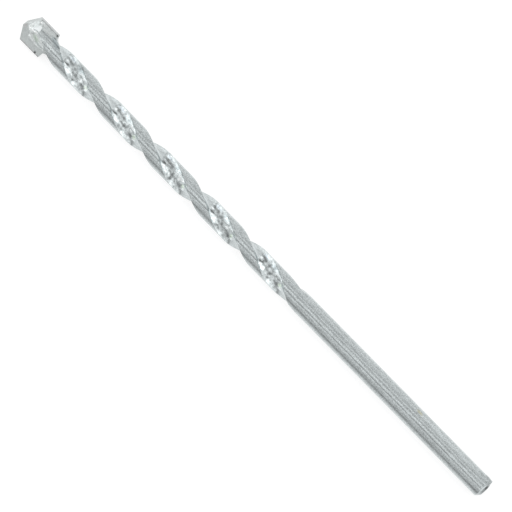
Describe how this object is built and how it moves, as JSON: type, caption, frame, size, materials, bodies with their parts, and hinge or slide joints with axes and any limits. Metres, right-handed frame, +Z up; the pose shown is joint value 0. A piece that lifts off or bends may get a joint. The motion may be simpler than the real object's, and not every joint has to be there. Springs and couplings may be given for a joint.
{
  "type": "masonry drill bit",
  "caption": "Masonry drill bit with a plain round shank, twisted flutes and a hard-metal plate brazed across its roof-shaped point.",
  "frame": {"origin": "centre of the shank's end face, on the bit's axis", "axes": "+X along the bit's axis from the shank's end to the drill point, +Z up as the bit lies on its side on a level surface, rolled until a corner of its plate stops it"},
  "size_m": [0.2, 0.0092, 0.007],
  "materials": {
    "body_steel": "sand-blasted satin",
    "hard_metal": "ground matt grey",
    "braze_metal": "blasted satin"
  },
  "bodies": {
    "root": {"drill_body": "body_steel", "tip_plate": "hard_metal", "braze": "braze_metal"}
  },
  "joints": []
}
